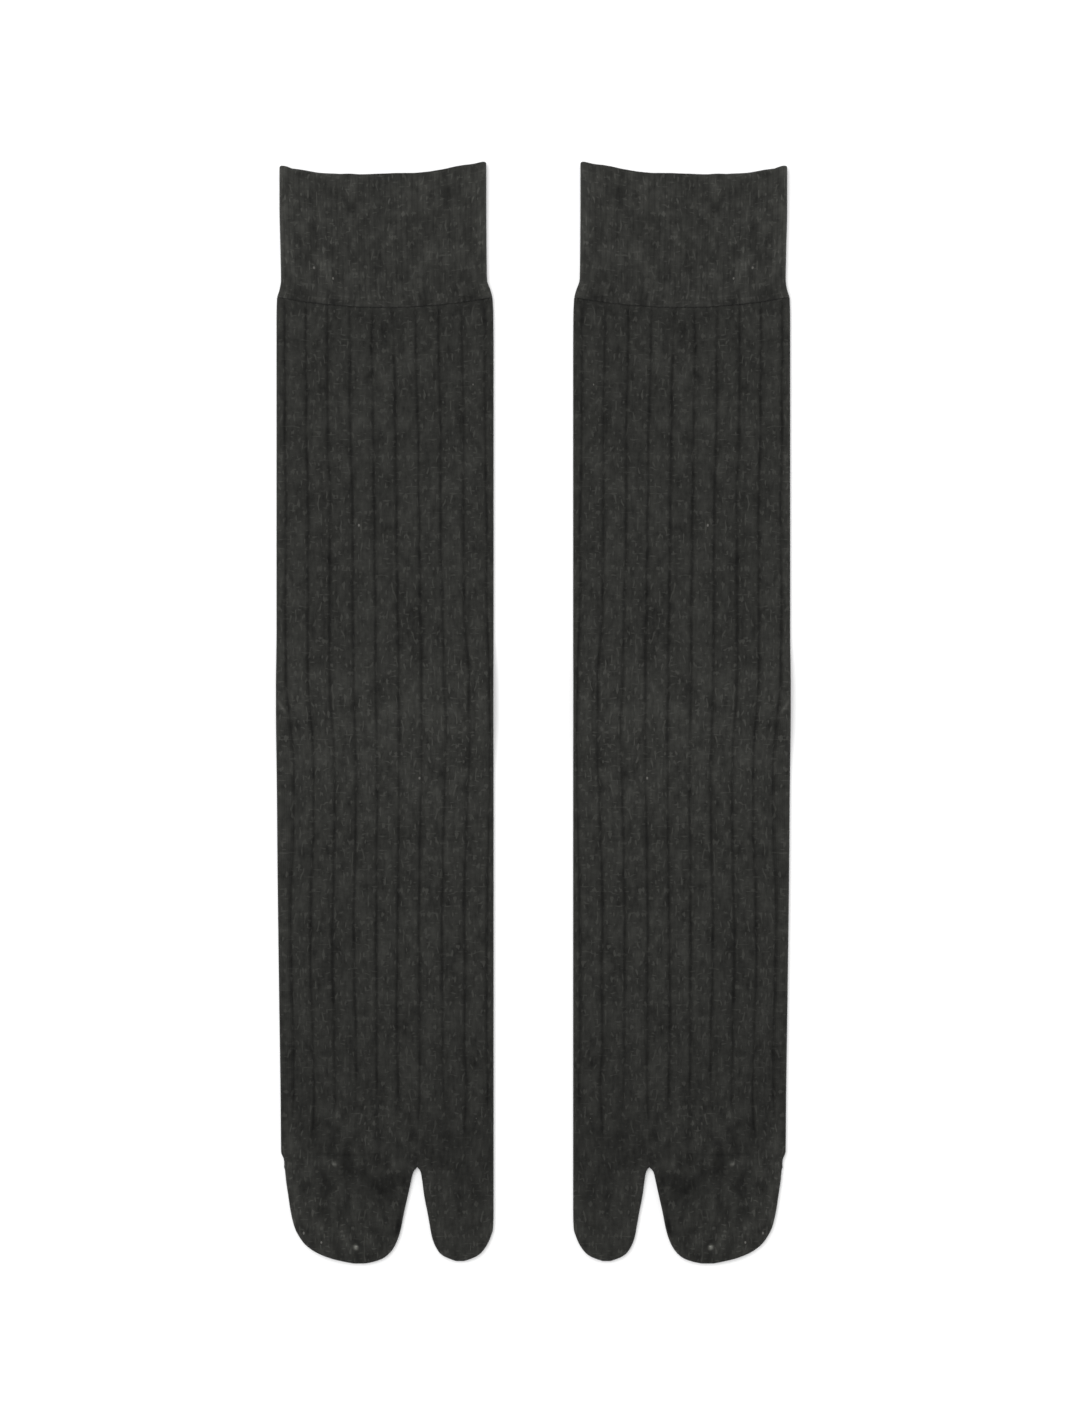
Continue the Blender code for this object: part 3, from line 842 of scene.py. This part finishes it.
# %% [markdown]
# ## Cuff
#
# The cuff is a welt: the machine knits it twice as long in a fine rib, folds it inwards and joins it on. So
# its grid runs up the outside of a double wall, over the top edge and down the inside, and closes on itself.
# Forty fine ribs a side are part of the mesh, since their shadows can be seen. At the outer third of the
# mouth the front layer hangs back a little and shows the back one.

# %% The cuff
CUFF_WALL = 2.1
CUFF_RIBS, CUFF_RIB_COLUMNS, CUFF_RIB_DEPTH = 40, 8, 0.22
CUFF_CELLS = CUFF_RIBS * CUFF_RIB_COLUMNS
CUFF_COURSE = 0.8
MOUTH_DROP, MOUTH_WOBBLE = 0.9, 0.3
MOUTH_LEFT, MOUTH_RIGHT, MOUTH_LOW = -43, -13, 446
CUFF_ROWS = (
    # station, outer edge, inner edge, tilt, dip, hollow
    (456.8, -43.8, 41.8, 1, 5, 1.9),
    (455.7, -43.9, 41.9, 1, 5, 1.9),
    (440, -43.9, 41.9, 0.8, 4.8, 1.3),
    (420, -43.5, 42, 0.4, 4.4, 0.8),
    (408.6, -43.3, 42.2, 0.2, 4.4, 0.8),
    (404.3, -43.9, 43.6, 0, 4.4, 0.5),
    (400.9, -45, 44.5, 0, 4.4, 0.1),
)
CUFF_CREASES = (
    (10, 446, 6, 22, 6, -0.22),
    (-20, 436, 78, 12, 6, 0.16),
    (-6, 424, -5, 30, 6, -0.2),
    (26, 428, 96, 14, 6, 0.15),
    (4, 411, 2, 36, 4, 0.14),
)
CUFF_TOP, CUFF_END = CUFF_ROWS[0][0], CUFF_ROWS[-1][0]
_, *cuff_curves = curves(CUFF_ROWS)


def blunt(value):
    """Pushes a cosine towards -1 and 1, which makes a half round squarer."""
    return value / sqrt(abs(value)) if abs(value) > 1e-9 else 0


def cuff_rib(column, station):
    """How deep a place lies between two fine ribs, which are lost in places."""
    number = column // CUFF_RIB_COLUMNS
    shown = 0.36 + 0.75 * uneven(100 + number, station, 4)
    shown += 0.3 * uneven(160, column / 3 + station / 9, 2)
    return (1 - abs(cos(pi * column / CUFF_RIB_COLUMNS)) ** 0.8) * clamp(shown, 0.04, 1)


def mouth_drop(across, station):
    """How far the front layer hangs back at the mouth."""
    window = smooth((across - MOUTH_LEFT) / 7) * smooth((MOUTH_RIGHT - across) / 9)
    return MOUTH_DROP * window * smooth((station - MOUTH_LOW) / 9)


def cuff_profile():
    """Stations and depths in the wall, from the lower edge up the outside and down the inside."""
    round_by = CUFF_WALL / 2
    low, high = CUFF_END + round_by, CUFF_TOP - round_by
    over = [(high + round_by * sin(a), round_by * (1 - cos(a))) for a in spread(0, pi, 9)]
    under = [(low - round_by * sin(a) ** 0.4, round_by * (1 + blunt(cos(a)))) for a in spread(0, pi, 13)]
    out = [(at, 0) for at in stations_between(high, low, 1.5)[:0:-1]]
    inside = [(at, CUFF_WALL) for at in stations_between(high, low, 5)[1:]]
    return out + over + inside + under + out[:1]


def cuff_row(station, inset):
    """A closed row of points round the cuff at a depth in its wall."""
    outer, inner, tilt, dip, hollow = (at(station) for at in cuff_curves)
    middle = CUFF_WALL + hollow / 2
    half = middle - inset
    shown = smooth((CUFF_WALL / 2 - inset) / CUFF_WALL + 0.5)

    def point(face, column, ways):
        distance, across = ways
        at = dipped(across, station + tilt * (across / HALF_WIDTH), dip)
        at -= mouth_drop(across, station) * smooth(distance / 5) if face > 0 else 0
        at += MOUTH_WOBBLE * uneven(170, across, 8) * smooth((station - MOUTH_LOW + 10) / 18)
        sunken = cuff_rib(column, at)
        # painted light and shade on the cuff's lumps
        risen = 0.8 * lump(across, at, face) * shown
        waves = creases(across, at, CUFF_CREASES) * shown if face > 0 else 0
        waves += LUMP_HEIGHT * risen
        if face > 0:
            # painted light and shade of the cuff's spots
            risen += shade(across, at, CUFF_PAINTED_LIGHT_AND_SHADE)
            # painted shadow above the cuff's lower edge
            risen += border_shade(across, station - CUFF_END, CUFF_BORDER)
        rounding = arch(distance, half)
        relief = (waves - CUFF_RIB_DEPTH * sunken * (0.3 + 0.7 * shown)) * rounding
        height = middle + face * (half * rounding + relief)
        # the fine ribs' valleys and crease troughs get painted shade through hollow
        return across, at, height, sunken * 0.8 + 0.4 * clamp(-waves), risen

    columns = folded(outer + inset, inner - inset, half, CUFF_CELLS)
    return ring(point, columns, columns)


def cuff():
    profile = cuff_profile()
    rows = [cuff_row(station, inset) for station, inset in profile]
    steps = [hypot(b[0] - a[0], b[1] - a[1]) for a, b in zip(profile, profile[1:])]
    along = [sum(steps[:number]) for number in range(len(profile))]
    front = [number / CUFF_RIB_COLUMNS for number in range(CUFF_CELLS + 1)]
    wales = ring_wales(front, [2 * CUFF_RIBS - wale for wale in front])
    up = [mix(*BAKE_BREADTH, way / along[-1]) for way in along]
    return [(rows, [way / CUFF_COURSE for way in along], [wales] * len(rows), BAKE_BREADTH, up)]


cuff_fabrics = cuff()
print("rows of the cuff:", len(cuff_fabrics[0][0]))

# %% [markdown]
# ## Heel
#
# The heel is a pouch of short rows in plain knit. On the pressed sock it is folded forward flat under the
# sole. It is made as a small flat cup whose edge is a fold on three sides, and above it the cloth thins out
# into a wedge that fills the slope under the back of the leg.

# %% The heel
HEEL_WALL = 1.3
HEEL_CELLS = 72
HEEL_WALE = 1.16
HEEL_CORNER, HEEL_CORNER_LONG = 5, 7
HEEL_ROWS = (
    # station, half width, height
    (HEEL_END, HEEL_HALF_END, 3),
    (HEEL_TOP, 42.6, 3),
    (238, 43.2, 2.95),
    (242, 43.4, 2.6),
    (246, 43.4, 1.98),
    (250, 43.3, 1.2),
    (254, 43, 0.5),
    (257.5, 42.4, 0.1),
)
HEEL_CREASES = (
    (-14, 222, 70, 10, 4, -0.2),
    (16, 212, 104, 9, 4, -0.22),
    (2, 204, 4, 14, 3, -0.18),
    (0, 238, 0, 40, 2.2, -0.16),
)
HEEL_EDGE = HEEL_ROWS[-1][0]
HEEL_OUT_UP, HEEL_IN_UP = (0.004, 0.76), (0.996, 0.78)
_, heel_width, heel_height = curves(HEEL_ROWS)


def heel_row(station, inset):
    """A closed row of points round the heel pouch, at a depth in its wall."""
    station = max(station, HEEL_END + inset)
    tall = heel_height(station)
    half = max(tall / 2 - inset, 0.04)
    width = heel_width(station) - inset
    width -= HEEL_CORNER * (1 - arch(station - HEEL_END - inset, HEEL_CORNER_LONG))
    tip = arch(station - HEEL_END - inset, max(half, 0.3))

    def point(face, _, ways):
        distance, across = ways
        hidden = face > 0 or inset > 0
        # painted light and shade on the heel's lumps
        risen = 0 if hidden else 0.6 * lump(across, station, 7)
        waves = 0 if hidden else creases(across, station, HEEL_CREASES) + LUMP_HEIGHT * risen
        waves = min(waves, 0) * clamp(half)
        height = tall / 2 + face * (half + waves) * arch(distance, half) * tip
        # the crease troughs get painted shade through hollow
        return across, station, height, 0.9 * clamp(-waves), risen

    columns = folded(-width, width, half, HEEL_CELLS)
    return ring(point, columns, columns)


def heel():
    outside = [HEEL_END + more for more in (0, 0.15, 0.45, 0.95, 1.7)]
    outside = (outside + spread(HEEL_END + 2.8, HEEL_EDGE, 40))[::-1]
    inside = [HEEL_END, HEEL_END + 2] + spread(HEEL_END + 4, HEEL_TOP, 10)
    rows = [heel_row(at, HEEL_WALL) for at in inside] + [heel_row(at, 0) for at in outside]
    courses = [(2 * HEEL_TOP - at) / COURSE for at in inside] + [at / COURSE for at in outside]
    up = [mix(*HEEL_IN_UP, (at - HEEL_END) / (HEEL_TOP - HEEL_END)) for at in inside]
    up += [mix(*HEEL_OUT_UP, (at - HEEL_END) / (HEEL_EDGE - HEEL_END)) for at in outside]
    wide = 2 * HEEL_HALF_TOP / HEEL_WALE
    wales = ring_wales(spread(0, wide, HEEL_CELLS + 1), spread(2 * wide, wide, HEEL_CELLS + 1))
    return [(rows, courses, [wales] * len(rows), BAKE_BREADTH, up)]


heel_fabrics = heel()
print("rows of the heel:", len(heel_fabrics[0][0]))

# %% [markdown]
# ## Yarn and stitches
#
# The yarn is a heathered charcoal: dark and paler fibres are spun together, so no two stitches have quite
# the same shade. All three knits use the same colour and stitches, so each of the two is a node group. They
# read the *knit* map, in which one is the width of a wale and the height of a course.

# %% Node helpers
FLOAT, COLOUR, VECTOR = "NodeSocketFloat", "NodeSocketColor", "NodeSocketVector"


def add(tree, kind, inputs, **settings):
    """Adds a shader node with its settings and inputs. Returns its outputs."""
    node = tree.nodes.new("ShaderNode" + kind)
    for name, value in settings.items():
        setattr(node, name, value)
    feed(tree, node, inputs)
    return node.outputs


def math_node(tree, operation, *values, clamped=False):
    """Adds a Math node fed with numbers or other nodes' outputs. Returns its output."""
    return add(tree, "Math", dict(enumerate(values)), operation=operation, use_clamp=clamped)["Value"]


def scaled(tree, vector, across, along):
    """A map stretched, so that a pattern on it is long or wide."""
    return add(tree, "Mapping", {"Vector": vector, "Scale": (across, along, 1)})["Vector"]


def pattern(tree, vector, across, along, detail, rough=0.55):
    """A noise on a map, with about so many patches to a unit across it and along it."""
    inputs = {"Vector": scaled(tree, vector, across, along), "Detail": detail, "Roughness": rough}
    return add(tree, "TexNoise", {"Scale": 1, **inputs})["Fac"]


def mixed(tree, share, start, end):
    return add(tree, "Mix", {"Factor": share, "A": start, "B": end}, data_type="RGBA")["Result"]


def new_group(name, inputs, outputs):
    """A node group that is given the knit map and these. Returns it with its inputs and its end."""
    group = bpy.data.node_groups.new(name, "ShaderNodeTree")
    group.interface.new_socket("Knit", in_out="INPUT", socket_type=VECTOR)
    for label, value in inputs.items():
        kind = COLOUR if isinstance(value, tuple) else FLOAT
        group.interface.new_socket(label, in_out="INPUT", socket_type=kind).default_value = value
    for label, kind in outputs.items():
        group.interface.new_socket(label, in_out="OUTPUT", socket_type=kind)
    return group, group.nodes.new("NodeGroupInput").outputs, group.nodes.new("NodeGroupOutput")


# %% [markdown]
# A knit stitch shows two legs that lean together in a V. Its point is towards the cuff, because the sock was
# knitted from there down. Each leg is a round bit of yarn: the distance from the middle of the wale gives
# its section, and the course, pushed up towards the middle, gives where one stitch slips under the next.

# %% The stitches' group
SWAY = 0.35
LOOP_RISE, LOOP_SHARPNESS, GAP_SHARPNESS = 0.45, 0.5, 2


def stitches_group():
    inputs, outputs = {"Wale Share": 1, "Lean": 1.7}, {"Height": FLOAT, "Gap": FLOAT}
    group, given, out = new_group("knit_stitches", inputs, outputs)
    maths = partial(math_node, group)
    knit = add(group, "SeparateXYZ", {"Vector": given["Knit"]})
    shaky = pattern(group, given["Knit"], 0.9, 0.5, 1)
    sway = maths("MULTIPLY", maths("SUBTRACT", shaky, 0.5), SWAY)
    from_middle = maths("PINGPONG", maths("ADD", knit["X"], sway), 0.5)
    aside = maths("DIVIDE", from_middle, given["Wale Share"])
    leg = maths("SUBTRACT", maths("MULTIPLY", aside, 4), 1)
    leg = maths("SQRT", maths("SUBTRACT", 1, maths("MULTIPLY", leg, leg), clamped=True))
    course = maths("ADD", knit["Y"], maths("MULTIPLY", aside, given["Lean"]))
    course = maths("PINGPONG", maths("ADD", course, sway), 0.5)
    loop = maths("POWER", maths("SINE", maths("MULTIPLY", course, pi)), LOOP_SHARPNESS)
    height = maths("MULTIPLY", leg, maths("MULTIPLY_ADD", loop, LOOP_RISE, 1 - LOOP_RISE))
    # the gap between the legs, which the yarn darkens with painted shade
    gap = maths("POWER", maths("SUBTRACT", 1, height, clamped=True), GAP_SHARPNESS)
    feed(group, out, {"Height": height, "Gap": gap})
    return group


# %% [markdown]
# The shade of the yarn comes from broad clouds and patches, streaks along the wales, dashes across them, a
# shade for each stitch, thin pale fibres both ways and rare pale flecks. They are laid out in millimetres of
# cloth, so all knits show the same yarn. Hollows and the gaps between a stitch's legs are darkened with
# painted shade, and the tone on the points scales the colour.

# %% The yarn's group
PATTERNS = {
    # patches in a millimetre across and along, detail, roughness, share in the shade
    "clouds": (0.055, 0.055, 2, 0.55, 0.75),
    "patches": (0.3, 0.15, 2, 0.6, 1.05),
    "streaks": (0.8, 0.19, 2, 0.65, 0.6),
    "dashes": (0.36, 0.85, 1, 0.6, 0.32),
}
FIBRES = (
    # patches in a millimetre across and along, the part of the noise that shows, share in the shade
    (0.85, 0.3, 0.655, 0.85),
    (0.36, 1, 0.68, 0.6),
)
FIBRE_EDGE = 0.09
STITCH_SHARE = 0.08
FLECK_DENSITY, FLECK_RADIUS, FLECK_LUCK = 0.125, 0.055, 0.88
ROUGHNESS, STREAK_ROUGHNESS = 0.82, 0.12
WIDE_KNIT = {
    "Dark": (0.0064, 0.0065, 0.0058, 1),
    "Pale": (0.0353, 0.0355, 0.032, 1),
    "Fleck": (0.1, 0.098, 0.09, 1),
    "Wale Width": 1.156,
    "Course Height": COURSE,
    "Hollow": 0,
    # strengths of the painted shade in hollows and between a stitch's legs
    "Hollow Shade": 0.48,
    "Gap": 0,
    "Gap Shade": 0.22,
    "Tone": 1,
}


def yarn_group():
    group, given, out = new_group("heathered_yarn", WIDE_KNIT, {"Color": COLOUR, "Roughness": FLOAT})
    maths = partial(math_node, group)
    size = add(group, "CombineXYZ", {"X": given["Wale Width"], "Y": given["Course Height"]})["Vector"]
    cloth = add(group, "VectorMath", {0: given["Knit"], 1: size}, operation="MULTIPLY")["Vector"]
    cell = add(group, "VectorMath", {0: scaled(group, given["Knit"], 1, 0.6)}, operation="FLOOR")["Vector"]
    stitch = add(group, "TexWhiteNoise", {"Vector": cell}, noise_dimensions="2D")["Value"]
    pale, patterns = maths("MULTIPLY_ADD", maths("SUBTRACT", stitch, 0.5), STITCH_SHARE, 0.5), {}
    for name, (*shape, share) in PATTERNS.items():
        patterns[name] = pattern(group, cloth, *shape)
        pale = maths("MULTIPLY_ADD", maths("SUBTRACT", patterns[name], 0.5), share, pale)
    for across, along, least, share in FIBRES:
        fibre = pattern(group, cloth, across, along, 0)
        seen = {"Value": fibre, "From Min": least, "From Max": least + FIBRE_EDGE}
        fibre = add(group, "MapRange", seen, interpolation_type="SMOOTHSTEP")["Result"]
        pale = maths("MULTIPLY_ADD", fibre, share, pale)
    colour = mixed(group, maths("ADD", pale, 0, clamped=True), given["Dark"], given["Pale"])
    spots = add(group, "TexVoronoi", {"Vector": scaled(group, cloth, 1, 0.7), "Scale": FLECK_DENSITY})
    lucky = add(group, "SeparateColor", {"Color": spots["Color"]})["Red"]
    near = maths("LESS_THAN", spots["Distance"], FLECK_RADIUS)
    fleck = maths("MULTIPLY", near, maths("GREATER_THAN", lucky, FLECK_LUCK))
    colour = mixed(group, fleck, colour, given["Fleck"])
    # painted shade in hollows and in the gaps between a stitch's legs
    dark = maths("MULTIPLY", given["Hollow"], given["Hollow Shade"])
    dark = maths("MULTIPLY_ADD", given["Gap"], given["Gap Shade"], dark)
    # the tone brings the painted light and shade laid on the points
    light = maths("MULTIPLY", maths("SUBTRACT", 1, dark, clamped=True), given["Tone"])
    colour = add(group, "VectorMath", {0: colour, "Scale": light}, operation="SCALE")["Vector"]
    rough = maths("MULTIPLY_ADD", patterns["streaks"], STREAK_ROUGHNESS, ROUGHNESS)
    feed(group, out, {"Color": colour, "Roughness": rough})
    return group


# %% The three knits
STITCHES, YARN = stitches_group(), yarn_group()
SURFACE = {"Sheen Weight": 0.05, "Sheen Roughness": 0.45, "Specular IOR Level": 0.12}
CUFF_KNIT = {
    "Dark": (0.0093, 0.0094, 0.0085, 1),
    "Pale": (0.038, 0.0382, 0.0345, 1),
    "Wale Width": 2.2,
    # the cuff's painted shade in hollows and between a stitch's legs
    "Hollow Shade": 0.16,
    "Gap Shade": 0.1,
}
KNITS = {
    # share of a wale that the stitch fills, its depth in mm, and what the yarn has of its own
    "cuff": (0.8, 0.07, CUFF_KNIT),
    "leg_and_foot": (1, 0.1, {}),
    "heel": (1, 0.1, {"Wale Width": HEEL_WALE, "Hollow Shade": 0.4}),
}


def knit_material(name):
    share, depth, own = KNITS[name]
    material, tree, shader = new_material(name + "_knit")
    knit = add(tree, "UVMap", {}, uv_map="knit")["UV"]
    stitches = add(tree, "Group", {"Knit": knit, "Wale Share": share}, node_tree=STITCHES)
    given = {"Knit": knit, "Gap": stitches["Gap"], **own}
    for label in ("Hollow", "Tone"):
        given[label] = add(tree, "Attribute", {}, attribute_name=label.lower())["Fac"]
    yarn = add(tree, "Group", given, node_tree=YARN)
    bump = add(tree, "Bump", {"Strength": 1, "Distance": depth * METRES, "Height": stitches["Height"]})
    feed(tree, shader, {"Base Color": yarn["Color"], "Roughness": yarn["Roughness"]})
    feed(tree, shader, {"Normal": bump["Normal"], **SURFACE})
    return material


materials = {name: knit_material(name) for name in KNITS}
print("materials:", [material.name for material in materials.values()])

# %% [markdown]
# ## The pair
#
# Both socks are made from the same tables, one the other way round. Each piece stands for its node of the
# imported model, which is hidden, and takes the knit material of its part.

# %% The pair
FABRICS = {"cuff": cuff_fabrics, "leg_and_foot": leg_and_foot_fabrics, "heel": heel_fabrics}
for foot, side in SIDES.items():
    for part, fabrics in FABRICS.items():
        piece = new_object(f"{foot}_{part}_knit", knitted(fabrics, side), materials[part])
        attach(piece, "root")
        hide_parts(f"{foot}_{part}")
